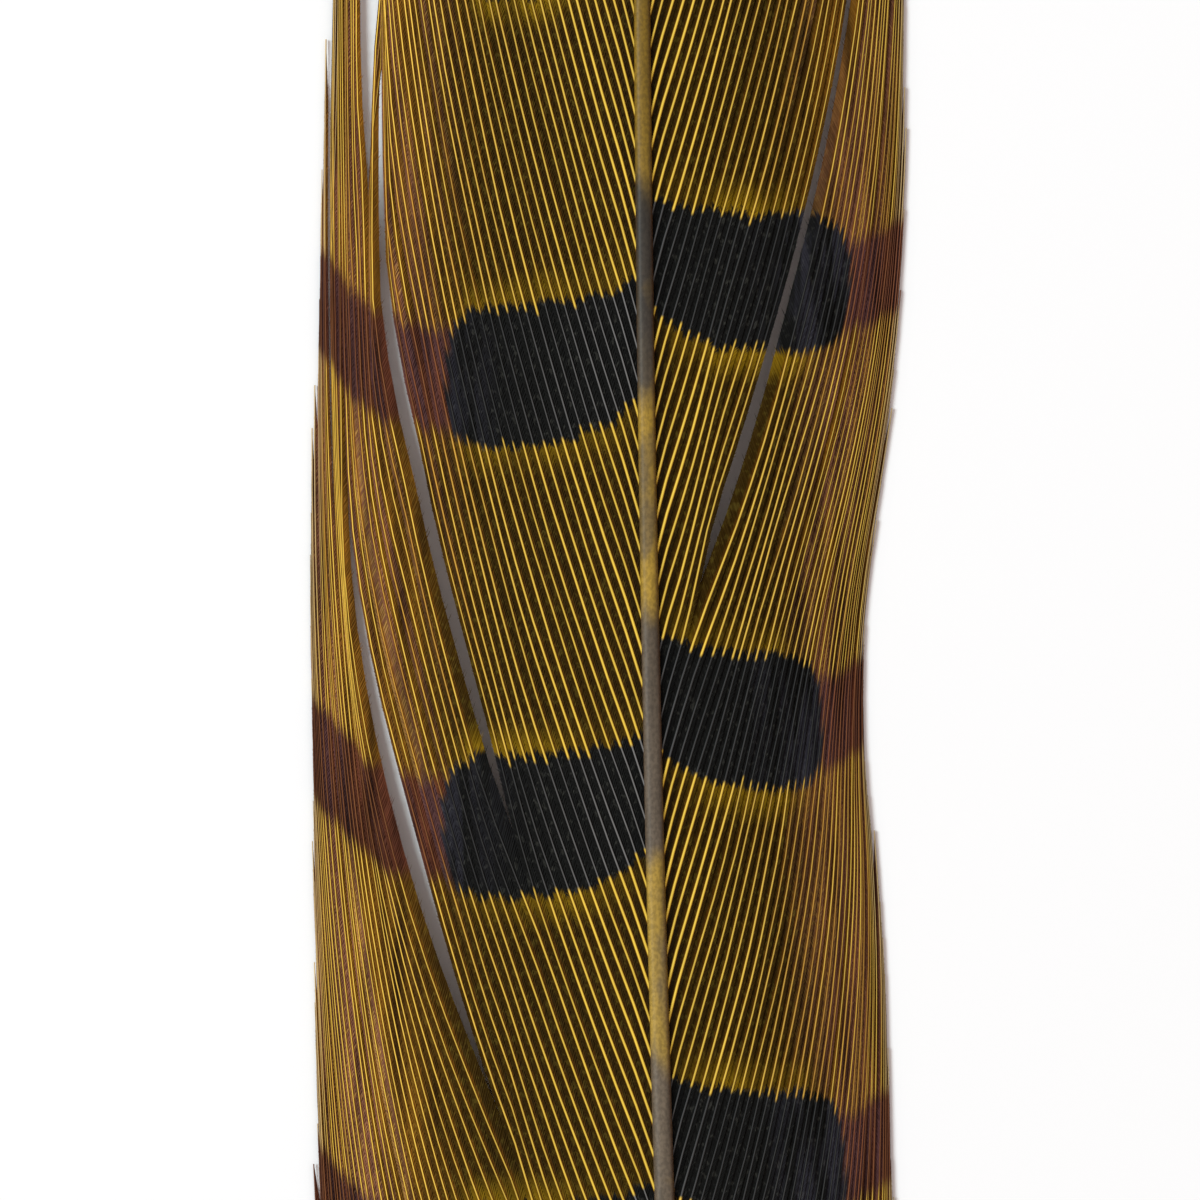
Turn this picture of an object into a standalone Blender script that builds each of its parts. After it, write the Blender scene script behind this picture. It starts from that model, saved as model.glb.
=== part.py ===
"""A pheasant's tail feather lying on a flat surface with its upper face up.

The quill's end is at low Y and the feather's tip at high Y. Barbs leave the shaft at a small
angle and bend until they run along the margin of the vane. Where barbs have come unhooked from
their neighbours the vane has a split, which follows a barb from the shaft to the margin, so each
web between two splits is a piece of its own. The foot of each vane is loose down.
"""

import math

import bmesh
import bpy
import numpy as np

# Lengths are in metres. Y is measured from the quill's end until the feather is centred.
LENGTH = 0.500
BOW_RADIUS = 2.6
BOW_MIDDLE = 0.26

# The shaft: a round quill that narrows into a squarer, grooved rachis.
QUILL_LENGTH = 0.038
QUILL_RADIUS = 0.0018
QUILL_LIP_RADIUS = 0.0009
QUILL_PIT_RADIUS = 0.00045
QUILL_PIT_DEPTH = 0.0015
RACHIS_WIDTH = [(0.038, 0.0034), (0.090, 0.0021), (0.180, 0.00130), (0.229, 0.00106),
                (0.260, 0.00096), (0.291, 0.00088), (0.360, 0.00070), (0.440, 0.00046),
                (0.478, 0.00028)]
RACHIS_END = 0.478
DEPTH_TO_WIDTH = 1.15
GROOVE_SHARE = 0.28
ARCH_HEIGHT = 0.0022
SHAFT_SIDES = 16
SHAFT_STEP = 0.010

# The vane: half widths from the shaft's middle to the margin.
LEFT_HALF_WIDTH = [(0.036, 0.0060), (0.062, 0.0110), (0.100, 0.0160), (0.150, 0.0186),
                   (0.225, 0.0186), (0.262, 0.0180), (0.295, 0.0166), (0.360, 0.0138),
                   (0.430, 0.0088), (0.470, 0.0044), (0.487, 0.0020), (0.501, 0.0005)]
RIGHT_HALF_WIDTH = [(0.036, 0.0055), (0.062, 0.0090), (0.100, 0.0118), (0.150, 0.0127),
                    (0.228, 0.0121), (0.246, 0.0118), (0.256, 0.0106), (0.268, 0.0127),
                    (0.277, 0.0137), (0.290, 0.0139), (0.320, 0.0136), (0.380, 0.0110),
                    (0.430, 0.0078), (0.470, 0.0039), (0.487, 0.0019), (0.501, 0.0005)]
WEB_THICKNESS = 0.0004
WEB_FIRST_ROOT = 0.062
WEB_LAST_ROOT = 0.4715
WEB_CAMBER = 1.6
PIECE_GAP = 0.0003
SPLIT_GAP = 0.0007

# How far a barb moves sideways for each metre towards the tip where it leaves the shaft. On its
# way out it bends towards the tip, until MARGIN_SHARE of that slope is left.
LEFT_ROOT_SLOPE = [(0.060, 0.510), (0.190, 0.400), (0.228, 0.365), (0.240, 0.350), (0.252, 0.340),
                   (0.260, 0.325), (0.268, 0.305), (0.291, 0.272), (0.400, 0.21), (0.445, 0.15),
                   (0.480, 0.07)]
RIGHT_ROOT_SLOPE = [(0.060, 0.47), (0.228, 0.320), (0.291, 0.305), (0.400, 0.23), (0.445, 0.16),
                    (0.480, 0.07)]
BARB_BEND = 2.6
MARGIN_SHARE = 0.08

# Roots on the shaft of the barbs along which the vane is split.
LEFT_SPLITS = [0.2095, 0.2258]
RIGHT_SPLITS = [0.2532]

# Down at the foot of the vane stands out wider and thicker than the webs.
DOWN_FIRST_ROOT = 0.0385
DOWN_LAST_ROOT = 0.0575
DOWN_SLOPE = 0.9
DOWN_REACH = 0.0115
DOWN_THICKNESS = 0.0042
DOWN_EDGE_THICKNESS = 0.0005

# Mesh fineness.
ROW_STEP = 0.0065
WEB_COLUMNS = [0.0, 0.14, 0.28, 0.42, 0.55, 0.67, 0.78, 0.87, 0.94, 1.0]
DOWN_ROWS = 9
DOWN_COLUMNS = 9
STATIONS = np.linspace(0.0, LENGTH + 0.02, 1041)
SMOOTHING = 31


def profile(knots):
    """A smooth function of y through (y, value) knots."""
    places, values = np.array(knots).T
    raw = np.interp(STATIONS, places, values)
    padded = np.pad(raw, SMOOTHING // 2, mode="edge")
    smooth = np.convolve(padded, np.ones(SMOOTHING) / SMOOTHING, mode="valid")
    return lambda y: np.interp(y, STATIONS, smooth)


rachis_width = profile(RACHIS_WIDTH)
half_width = {-1: profile(LEFT_HALF_WIDTH), 1: profile(RIGHT_HALF_WIDTH)}
root_slope = {-1: profile(LEFT_ROOT_SLOPE), 1: profile(RIGHT_ROOT_SLOPE)}


def bow(y):
    """How far the shaft's middle line is to the right at y."""
    return (y - BOW_MIDDLE) ** 2 / (2 * BOW_RADIUS)


def shaft_width(y):
    rounded_end = 1 - (1 - np.clip(y / (0.4 * QUILL_LENGTH), 0, 1)) ** 3
    quill = QUILL_LIP_RADIUS + (QUILL_RADIUS - QUILL_LIP_RADIUS) * rounded_end
    return np.where(y < QUILL_LENGTH, np.minimum(2 * quill, 2 * QUILL_RADIUS), rachis_width(y))


def shaft_depth(y):
    into_rachis = np.clip((y - QUILL_LENGTH) / 0.03, 0, 1)
    return shaft_width(y) * (1 + (DEPTH_TO_WIDTH - 1) * into_rachis)


def shaft_middle_height(y):
    """The arch of the shaft: the quill and the tip lie down, and the middle is off the surface."""
    along = np.clip((y - QUILL_LENGTH) / (RACHIS_END - QUILL_LENGTH), 0, 1)
    underside = ARCH_HEIGHT * np.sin(np.pi * along) ** 0.8
    resting = np.where(y < QUILL_LENGTH, QUILL_RADIUS, shaft_depth(y) / 2)
    return underside + resting


def root_height(y):
    """Where the barbs join the shaft: a little above the middle of its side."""
    return shaft_middle_height(y) + 0.15 * shaft_depth(y)


def bend(across):
    """The share of its first slope that a barb still has, at a share of the way to the margin."""
    return 1 - (1 - MARGIN_SHARE) * across**BARB_BEND


def running_total(x, y):
    """The integral of y from the first x up to each x."""
    return np.concatenate([[0], np.cumsum((y[1:] + y[:-1]) / 2 * np.diff(x))])


def barb_y(side, root, across):
    """The y of the barb with this root, at a share of the way to the margin."""
    shares = np.linspace(0, 1, 2001)
    outward = np.interp(across, shares, running_total(shares, 1 / bend(shares)))
    y = np.linspace(0, LENGTH + 0.10, 6001)
    forward = running_total(y, root_slope[side](y) / half_width[side](y))
    return np.interp(np.interp(root, y, forward) + outward, forward, y)


def web_surface(side, across, y):
    """The middle surface of the vane, arched from the shaft down to its margin."""
    inner = shaft_width(y) / 2 + PIECE_GAP
    x = inner + (half_width[side](y) - inner) * across
    rise = 1 - across**WEB_CAMBER
    height = WEB_THICKNESS / 2 + (root_height(y) - WEB_THICKNESS / 2) * rise
    return np.stack([bow(y) + side * x, y, height], axis=-1)


def material(name, colour, roughness):
    made = bpy.data.materials.new(name)
    made.use_nodes = True
    shader = made.node_tree.nodes["Principled BSDF"]
    shader.inputs["Base Color"].default_value = (*colour, 1)
    shader.inputs["Roughness"].default_value = roughness
    shader.inputs["Metallic"].default_value = 0
    made.diffuse_color = (*colour, 1)
    return made


def piece(name, points, faces, origin, colour, roughness):
    """A closed body with its faces out, its origin at a point of the feather, and a material."""
    mesh = bpy.data.meshes.new(name)
    mesh.from_pydata((points - origin).tolist(), [], faces)
    body = bmesh.new()
    body.from_mesh(mesh)
    if body.calc_volume(signed=True) < 0:
        bmesh.ops.reverse_faces(body, faces=body.faces)
    bmesh.ops.triangulate(body, faces=body.faces)
    body.to_mesh(mesh)
    body.free()
    mesh.shade_smooth()
    mesh.set_sharp_from_angle(angle=math.radians(50))
    made = bpy.data.objects.new(name, mesh)
    made.location = origin
    made.data.materials.append(material(name, colour, roughness))
    bpy.context.scene.collection.objects.link(made)
    return made


def tube_faces(rings, sides):
    """Faces of a tube of rings, with a cap at each end."""
    faces = []
    for ring in range(rings - 1):
        for corner in range(sides):
            low = ring * sides
            after = (corner + 1) % sides
            faces.append((low + corner, low + after, low + sides + after, low + sides + corner))
    faces.append(tuple(reversed(range(sides))))
    faces.append(tuple((rings - 1) * sides + corner for corner in range(sides)))
    return faces


def slab_faces(rows, columns):
    """Faces of a plate of two grids, the first on top, joined round the rim."""
    under = rows * columns
    faces = []
    for row in range(rows - 1):
        for column in range(columns - 1):
            a = row * columns + column
            quad = (a, a + 1, a + columns + 1, a + columns)
            faces.append(quad)
            faces.append(tuple(under + corner for corner in reversed(quad)))
    rim = list(range(columns))
    rim += [row * columns + columns - 1 for row in range(1, rows)]
    rim += [(rows - 1) * columns + column for column in range(columns - 2, -1, -1)]
    rim += [row * columns for row in range(rows - 2, 0, -1)]
    for here, after in zip(rim, rim[1:] + rim[:1]):
        faces.append((after, here, under + here, under + after))
    return faces


def shaft_ring(y, width, depth, squareness, groove):
    """A ring of the shaft: an ellipse that gets squarer, with a groove along its underside."""
    turn = np.arange(SHAFT_SIDES) * 2 * math.pi / SHAFT_SIDES
    power = 2 / (2 + squareness)
    x = width / 2 * np.sign(np.cos(turn)) * np.abs(np.cos(turn)) ** power
    z = depth / 2 * np.sign(np.sin(turn)) * np.abs(np.sin(turn)) ** power
    z[3 * SHAFT_SIDES // 4] += groove * depth
    return np.stack([bow(y) + x, np.full(SHAFT_SIDES, y), shaft_middle_height(y) + z], axis=-1)


def build_shaft():
    pit = [(QUILL_PIT_DEPTH, 1.2 * QUILL_PIT_RADIUS), (0.0, 2 * QUILL_PIT_RADIUS)]
    rings = [shaft_ring(y, width, width, 0, 0) for y, width in pit]
    quill = np.array([0.0, 0.0008, 0.002, 0.004, 0.007, 0.011, 0.016, 0.025, QUILL_LENGTH - 0.001])
    rachis = np.arange(QUILL_LENGTH + 0.004, RACHIS_END, SHAFT_STEP)
    for y in np.concatenate([quill, rachis, [RACHIS_END]]):
        changed = float(np.clip((y - QUILL_LENGTH) / 0.03, 0, 1))
        width = float(shaft_width(y))
        depth = float(shaft_depth(y))
        rings.append(shaft_ring(y, width, depth, changed, GROOVE_SHARE * changed))
    origin = np.array([float(bow(0.0)), 0.0, QUILL_RADIUS])
    faces = tube_faces(len(rings), SHAFT_SIDES)
    return piece("shaft", np.concatenate(rings), faces, origin, (0.36, 0.26, 0.075), 0.45)


def slab(name, middle, thickness, origin, colour, roughness):
    """A plate about a middle surface, kept off the surface that the feather lies on."""
    middle[..., 2] = np.maximum(middle[..., 2], thickness / 2)
    half = np.zeros_like(middle)
    half[..., 2] = thickness / 2
    rows, columns = middle.shape[:2]
    points = np.concatenate([(middle + half).reshape(-1, 3), (middle - half).reshape(-1, 3)])
    return piece(name, points, slab_faces(rows, columns), origin, colour, roughness)


def build_web(name, side, first_root, last_root, split_below, split_above, colour):
    """The web of the barbs between two roots, kept back from a split on either hand."""
    across = np.array(WEB_COLUMNS)
    rows = max(3, math.ceil((last_root - first_root) / ROW_STEP) + 1)
    roots = np.linspace(first_root, last_root, rows)
    y = np.array([barb_y(side, root, across) for root in roots])
    back_off = SPLIT_GAP / 2 / (root_slope[side](y) * bend(across))
    if split_below:
        y[0] += back_off[0]
    if split_above:
        y[-1] -= back_off[-1]
    middle = web_surface(side, across, y)
    thickness = np.full(y.shape, WEB_THICKNESS)
    return slab(name, middle, thickness, middle[0, 0].copy(), colour, 0.6)


def build_vane(side, side_name, splits, names, colours):
    """All the webs of one side, from the down to the tip."""
    edges = [WEB_FIRST_ROOT, *splits, WEB_LAST_ROOT]
    last = len(names) - 1
    webs = []
    for number, (name, colour) in enumerate(zip(names, colours)):
        full_name = f"web_{side_name}_{name}"
        low, high = edges[number], edges[number + 1]
        webs.append(build_web(full_name, side, low, high, number > 0, number < last, colour))
    return webs


def build_down(side, side_name):
    """The tuft of loose down below the first web, thick in the middle and thin at its edges."""
    across = np.linspace(0, 1, DOWN_COLUMNS)[None, :]
    along = np.linspace(0, 1, DOWN_ROWS)[:, None]
    root = DOWN_FIRST_ROOT + (DOWN_LAST_ROOT - DOWN_FIRST_ROOT) * along
    reach = DOWN_REACH * (0.75 + 0.25 * np.sin(math.pi * along))
    inner = shaft_width(root) / 2 + PIECE_GAP
    x = inner + (reach - inner) * across
    y = root + x / DOWN_SLOPE
    swell = np.sin(math.pi * across) ** 0.7 * np.sin(math.pi * along) ** 0.7
    thickness = DOWN_EDGE_THICKNESS + (DOWN_THICKNESS - DOWN_EDGE_THICKNESS) * swell
    height = root_height(root) * (1 - 0.75 * across) + 0 * y
    inner_y = np.broadcast_to(y, thickness.shape)
    middle = np.stack([bow(inner_y) + side * x, inner_y, height], axis=-1)
    return slab(f"down_{side_name}", middle, thickness, middle[0, 0].copy(), (0.30, 0.26, 0.22), 0.9)


def centre_on_floor(pieces):
    """Hangs the pieces on an empty that puts the middle of their box's underside at the origin."""
    bpy.context.view_layer.update()
    corners = np.array([made.matrix_world @ v.co for made in pieces for v in made.data.vertices])
    low, high = corners.min(axis=0), corners.max(axis=0)
    feather = bpy.data.objects.new("feather", None)
    feather.location = (-(low[0] + high[0]) / 2, -(low[1] + high[1]) / 2, -low[2])
    bpy.context.scene.collection.objects.link(feather)
    for made in pieces:
        made.parent = feather
    return feather


def clear_scene():
    for old in list(bpy.data.objects):
        bpy.data.objects.remove(old, do_unlink=True)


def main():
    clear_scene()
    olive = (0.115, 0.075, 0.018)
    maroon = (0.10, 0.045, 0.025)
    pieces = [build_shaft()]
    pieces += build_vane(-1, "left", LEFT_SPLITS, ["base", "sliver", "tip"], [maroon, olive, olive])
    pieces += build_vane(1, "right", RIGHT_SPLITS, ["base", "tip"], [olive, olive])
    pieces += [build_down(-1, "left"), build_down(1, "right")]
    centre_on_floor(pieces)


main()
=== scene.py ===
"""The pheasant tail feather as it looks: every barb of the vane is modelled, with its barbules.

The CAD webs are thin plates that say where the vane is. Here each is replaced by the barbs that
make it up. A barb is a tapering shaft with a row of barbules along either side. Bars, tips and
margins are coloured from where a barb's point lies on the vane, so they follow the barbs.
"""

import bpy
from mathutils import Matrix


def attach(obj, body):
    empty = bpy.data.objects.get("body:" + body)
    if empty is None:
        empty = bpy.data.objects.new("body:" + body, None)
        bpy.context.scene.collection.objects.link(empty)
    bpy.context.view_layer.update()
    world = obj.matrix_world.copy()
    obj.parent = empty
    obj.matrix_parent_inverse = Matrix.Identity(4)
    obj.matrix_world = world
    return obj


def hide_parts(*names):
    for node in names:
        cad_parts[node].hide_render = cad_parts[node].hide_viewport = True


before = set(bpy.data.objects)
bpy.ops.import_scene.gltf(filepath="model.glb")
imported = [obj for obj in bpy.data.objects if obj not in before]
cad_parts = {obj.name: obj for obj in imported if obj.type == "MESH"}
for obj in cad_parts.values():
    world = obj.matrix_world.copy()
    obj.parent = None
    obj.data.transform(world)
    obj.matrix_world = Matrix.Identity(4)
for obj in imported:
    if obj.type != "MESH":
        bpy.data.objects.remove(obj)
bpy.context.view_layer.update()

import copy
import math

import bpy
import numpy as np
from mathutils import Vector

# Lengths are in metres, and y runs from the quill's end until shifted by QUILL_END.
QUILL_END = np.array([-0.000395, -0.253017, 0.0])
LENGTH = 0.500
LEFT = -1
RIGHT = 1

# The shaft, as the CAD has it.
BOW_RADIUS = 2.6
BOW_MIDDLE = 0.26
QUILL_LENGTH = 0.038
QUILL_RADIUS = 0.0018
QUILL_LIP_RADIUS = 0.0009
QUILL_PIT_DEPTH = 0.0015
RACHIS_WIDTH = [(0.038, 0.0034), (0.090, 0.0021), (0.180, 0.00130), (0.229, 0.00106),
                (0.260, 0.00096), (0.291, 0.00088), (0.360, 0.00070), (0.440, 0.00046),
                (0.478, 0.00028)]
RACHIS_END = 0.478
DEPTH_TO_WIDTH = 1.15
GROOVE_SHARE = 0.28
ARCH_HEIGHT = 0.0022
SHAFT_SIDES = 32
SHAFT_STEP = 0.0015

# The vane, as the CAD has it.
LEFT_HALF_WIDTH = [(0.036, 0.0060), (0.062, 0.0110), (0.100, 0.0160), (0.150, 0.0186),
                   (0.225, 0.0186), (0.262, 0.0180), (0.295, 0.0166), (0.360, 0.0138),
                   (0.430, 0.0088), (0.470, 0.0044), (0.487, 0.0020), (0.501, 0.0005)]
RIGHT_HALF_WIDTH = [(0.036, 0.0055), (0.062, 0.0090), (0.100, 0.0118), (0.150, 0.0127),
                    (0.228, 0.0121), (0.246, 0.0118), (0.256, 0.0106), (0.268, 0.0127),
                    (0.277, 0.0137), (0.290, 0.0139), (0.320, 0.0136), (0.380, 0.0110),
                    (0.430, 0.0078), (0.470, 0.0039), (0.487, 0.0019), (0.501, 0.0005)]
LEFT_ROOT_SLOPE = [(0.060, 0.510), (0.190, 0.400), (0.228, 0.365), (0.240, 0.350), (0.252, 0.340),
                   (0.260, 0.325), (0.268, 0.305), (0.291, 0.272), (0.400, 0.21), (0.445, 0.15),
                   (0.480, 0.07)]
RIGHT_ROOT_SLOPE = [(0.060, 0.47), (0.228, 0.320), (0.291, 0.305), (0.400, 0.23), (0.445, 0.16),
                    (0.480, 0.07)]
BARB_BEND = 2.6
MARGIN_SHARE = 0.08
WEB_THICKNESS = 0.0004
WEB_FIRST_ROOT = 0.062
WEB_LAST_ROOT = 0.4715
WEB_CAMBER = 1.6
LEFT_SPLITS = [0.2095, 0.2258]
RIGHT_SPLITS = [0.2532]

# Barbs.
BARB_PITCH = 0.00175
BARB_STATIONS = 34
BARB_REACH = 0.998
BARB_WIDTH_AT_SHAFT = 0.00020
BARB_WIDTH_AT_MARGIN = 0.00007
BARB_THINNEST = 0.00003
BARB_SHARE_OF_ROOM = 0.45
BARB_DEPTH = 0.00012
BARB_WANDER = 0.00005
LEAST_APART = 0.00012
MARGIN_INSET = {LEFT: 0.00011, RIGHT: -0.00010}

# Barbs bow where they leave the shaft, and from TIP_FIRST_ROOT on they lean over the rachis.
ROOT_CURL = 0.45
ROOT_CURL_REACH = 0.03
TIP_FIRST_ROOT = 0.440

# Barbules: the web between two barbs, and the single ones laid over it. A web is as wide as the
# room to the next barb, but beside a split no wider than MAT_WIDEST times the usual room.
MAT_OVERLAP = 1.06
MAT_WIDEST = 1.30
MAT_LIMIT = 0.0009
OUTER_MAT_SHARE = 0.42
TIP_LENGTH = 0.003
BARBULE_PITCH = 0.00020
BARBULE_BASE = 0.28
BARBULE_SLANT = 1.25
BARBULE_START = 0.00004
BARBULE_TWIST = 0.00001
BARBULE_DROP = 0.00003
HOOKED_DROP = 0.00004
LAST_BARBULE = 0.985
FRINGE_REACH = 0.35

# The bake's map has a row for each barb. Its shaft and the webs on both sides lie at these shares
# of the row's height.
SHAFT_BANDS = [0.04, 0.14, 0.24, 0.14]
INNER_BANDS = [0.32, 0.50, 0.68]
OUTER_BANDS = [0.76, 0.96]

# Splits in the vane: (root, where it opens, where it is widest, where it closes, added room,
# how far along the shaft barbs give way). The three places are shares of the way to the margin.
SPLITS = {
    LEFT: [(0.2095, 0.34, 0.68, 0.99, 0.00130, 0.011),
           (0.2258, 0.30, 0.50, 1.60, 0.00100, 0.011),
           (0.1940, 0.968, 0.996, 2.00, 0.00085, 0.008),
           (0.2205, 0.865, 0.905, 2.00, 0.00140, 0.007)],
    RIGHT: [(0.2532, 0.10, 0.34, 1.30, 0.00105, 0.011),
            (0.2430, 0.44, 0.55, 0.70, 0.00022, 0.011)],
}

# How far the barbs beside a split lean outwards, at shares of the way to the margin.
LEANS = {
    LEFT: [(0.2095, [(0.30, 0.0), (0.42, -0.0003), (0.51, 0.0), (0.61, 0.00036), (0.76, 0.00085),
                     (0.85, 0.00100), (1.00, 0.0)]),
           (0.2258, [(0.55, 0.0), (0.69, 0.0002), (0.74, 0.00050), (0.785, 0.00044),
                     (0.895, -0.00095), (1.00, -0.0012)])],
    RIGHT: [],
}
LEAN_SPREAD = 0.009

# Where clumps of barb tips end in a spike along the margin.
SPIKES = {LEFT: [0.2324, 0.2723, 0.2910], RIGHT: [0.2495, 0.2700]}
SPIKE_HEIGHT = {LEFT: 0.00026, RIGHT: 0.00014}

# Down at the foot of the vane.
DOWN_FIRST_ROOT = 0.0385
DOWN_LAST_ROOT = 0.0610
DOWN_BARBS = 40
DOWN_STATIONS = 12
DOWN_LENGTH = 0.0092
DOWN_BARB_WIDTH = 0.00014
DOWN_BARBULES = 110
DOWN_BARBULE_LENGTH = 0.0018
DOWN_BARBULE_WIDTH = 0.00006
DOWN_LOWEST = 0.00005
DOWN_HIGHEST = 0.0040

# Bars: black near the shaft, and chestnut from BAR_END, a share of the way, to the margin.
BAR_PERIOD = {LEFT: 0.0236, RIGHT: 0.0230}
BAR_PLACE = {LEFT: 0.2504, RIGHT: 0.2555}
BAR_SWEEP = {LEFT: 0.0023, RIGHT: 0.0021}
BAR_HALF = {LEFT: 0.0032, RIGHT: 0.0031}
BAR_END = {LEFT: 0.60, RIGHT: 0.78}
CHESTNUT_HALF = {LEFT: 0.0027, RIGHT: 0.0024}
CHESTNUT_LIFT = {LEFT: 0.0046, RIGHT: 0.0012}
# How far from the rachis the painted highlight on barbs in the black bars fades from pale to dim.
BAR_HIGHLIGHT_REACH = {LEFT: 0.0085, RIGHT: 0.0030}
BORDER_RAGGED = 0.0004

# How much paler the vane is near its margin, and how much painted shade darkens it beside the shaft.
OUTER_LIGHT = {LEFT: 0.55, RIGHT: 0.12}
SHADE_BY_SHAFT = {LEFT: 0.35, RIGHT: 0.60}

# The view: straight down on the middle of the vane.
VIEW_MIDDLE = 0.2600
VIEW_ASIDE = -0.0026
VIEW_WIDTH = 0.0630
VIEW_ROLL = math.radians(-1.07)
LENS = 150
SENSOR = 36
FLOOR_HALF = 3.0


def srgb(red, green, blue):
    """A colour in the 0 to 255 of a screen as the linear one that a material takes."""
    parts = np.array([red, green, blue]) / 255
    linear = np.where(parts <= 0.04045, parts / 12.92, ((parts + 0.055) / 1.055) ** 2.4)
    return (*linear.tolist(), 1.0)


GOLD = srgb(227, 190, 68)
GOLD_OUTER = srgb(206, 170, 66)
# Painted shade for the side edges of the barb shafts and of the rachis.
SHADED_GOLD_EDGE = srgb(96, 56, 4)
ORANGE = srgb(150, 96, 30)
PALE_TIP = srgb(170, 146, 104)
# Painted highlight along the middle of a barb shaft in a black bar: paler near the rachis, dimmer
# further out.
GREY_BARB_HIGHLIGHT = {LEFT: srgb(116, 114, 112), RIGHT: srgb(76, 75, 74)}
DIM_BARB_HIGHLIGHT = srgb(46, 45, 44)
CHESTNUT_BARB = srgb(116, 60, 34)
OLIVE = srgb(46, 31, 1)
OLIVE_LIGHT = srgb(70, 58, 16)
BROWN = srgb(86, 56, 12)
MAUVE = srgb(94, 60, 44)
TAN = srgb(120, 90, 44)
GLOW = srgb(124, 96, 8)
RUST_ROOT = srgb(92, 52, 2)
CHESTNUT = srgb(78, 41, 28)
PURPLE = srgb(68, 43, 44)
BLACK = srgb(17, 17, 16)
BLACK_SPECK = srgb(46, 46, 42)
SLATE = srgb(46, 45, 54)

UP = np.array([0, 0, 1.0])
STATIONS = np.linspace(0.0, LENGTH + 0.02, 1041)
SMOOTHING = 31
rng = np.random.default_rng(7)


# ---------------------------------------------------------------- shape of the feather


def profile(knots):
    """A smooth function of y through (y, value) knots."""
    places, values = np.array(knots).T
    raw = np.interp(STATIONS, places, values)
    padded = np.pad(raw, SMOOTHING // 2, mode="edge")
    smooth = np.convolve(padded, np.ones(SMOOTHING) / SMOOTHING, mode="valid")
    return lambda y: np.interp(y, STATIONS, smooth)


rachis_width = profile(RACHIS_WIDTH)
half_width = {LEFT: profile(LEFT_HALF_WIDTH), RIGHT: profile(RIGHT_HALF_WIDTH)}
root_slope = {LEFT: profile(LEFT_ROOT_SLOPE), RIGHT: profile(RIGHT_ROOT_SLOPE)}


def smoothstep(value, low, high):
    """0 below low, 1 above high and smooth between them."""
    t = np.clip((value - low) / (high - low), 0, 1)
    return t * t * (3 - 2 * t)


def bow(y):
    """How far to the right the curved shaft lies."""
    return (y - BOW_MIDDLE) ** 2 / (2 * BOW_RADIUS)


def shaft_width(y):
    """The shaft's whole width: a quill that is rounded off at its end, then the rachis."""
    rounded_end = 1 - (1 - np.clip(y / (0.4 * QUILL_LENGTH), 0, 1)) ** 3
    quill = QUILL_LIP_RADIUS + (QUILL_RADIUS - QUILL_LIP_RADIUS) * rounded_end
    return np.where(y < QUILL_LENGTH, np.minimum(2 * quill, 2 * QUILL_RADIUS), rachis_width(y))


def shaft_depth(y):
    """The shaft's depth from its upper face to its underside."""
    into_rachis = np.clip((y - QUILL_LENGTH) / 0.03, 0, 1)
    return shaft_width(y) * (1 + (DEPTH_TO_WIDTH - 1) * into_rachis)


def shaft_middle_height(y):
    """The quill lies on the surface, and the rachis arches off it."""
    along = np.clip((y - QUILL_LENGTH) / (RACHIS_END - QUILL_LENGTH), 0, 1)
    underside = ARCH_HEIGHT * np.sin(np.pi * along) ** 0.8
    resting = np.where(y < QUILL_LENGTH, QUILL_RADIUS, shaft_depth(y) / 2)
    return underside + resting


def root_height(y):
    """How high on the shaft the barbs leave it."""
    return shaft_middle_height(y) + 0.15 * shaft_depth(y)


def bend(across):
    """How much of its first slope a barb keeps, at a share of the way to the margin."""
    return 1 - (1 - MARGIN_SHARE) * across**BARB_BEND


def running_total(x, y):
    """The area under y from the first x to each x."""
    return np.concatenate([[0], np.cumsum((y[1:] + y[:-1]) / 2 * np.diff(x))])


SHARES = np.linspace(0, 1, 2001)
ALONG = np.linspace(0, LENGTH + 0.10, 6001)
outward = running_total(SHARES, 1 / bend(SHARES))
forward = {side: running_total(ALONG, root_slope[side](ALONG) / half_width[side](ALONG))
           for side in (LEFT, RIGHT)}


def barb_y(side, root, across):
    """The y of the barb with this root, at a share of the way to the margin."""
    travelled = np.interp(root, ALONG, forward[side]) + np.interp(across, SHARES, outward)
    return np.interp(travelled, forward[side], ALONG)


# ---------------------------------------------------------------- how the barbs have shifted


def opening(across, opens, widest, closes):
    """How far a split is open: 0 to 1 and back to 0 along the way to the margin."""
    return smoothstep(across, opens, widest) * (1 - smoothstep(across, widest, closes))


def split_shift(side, root, across):
    """How far barbs have moved outwards because the vane has come apart near them."""
    shift = np.zeros(np.broadcast(root, across).shape)
    held_at_margin = 1 - smoothstep(across, 0.80, 1.0)
    for place, opens, widest, closes, room, spread in SPLITS[side]:
        fade = np.exp(-np.abs(root - place) / spread)
        apart = room / 2 * opening(across, opens, widest, closes) * fade
        shift += np.where(root > place, -apart, apart * held_at_margin)
    for place, knots in LEANS[side]:
        fade = np.exp(-(((root - place) / LEAN_SPREAD) ** 2))
        lean = np.interp(across, *np.transpose(knots)) * fade
        shift += np.minimum(lean, lean * held_at_margin)
    return shift


def margin_spikes(side):
    """The y of every spike of the margin, the stated ones and others beyond them."""
    known = SPIKES[side]
    below = known[0] - np.cumsum(rng.uniform(0.012, 0.034, 12))
    above = known[-1] + np.cumsum(rng.uniform(0.010, 0.028, 16))
    spikes = np.sort(np.concatenate([below, known, above]))
    return spikes[(spikes > 0.05) & (spikes < LENGTH + 0.02)]


spikes = {side: margin_spikes(side) for side in (LEFT, RIGHT)}


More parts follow.
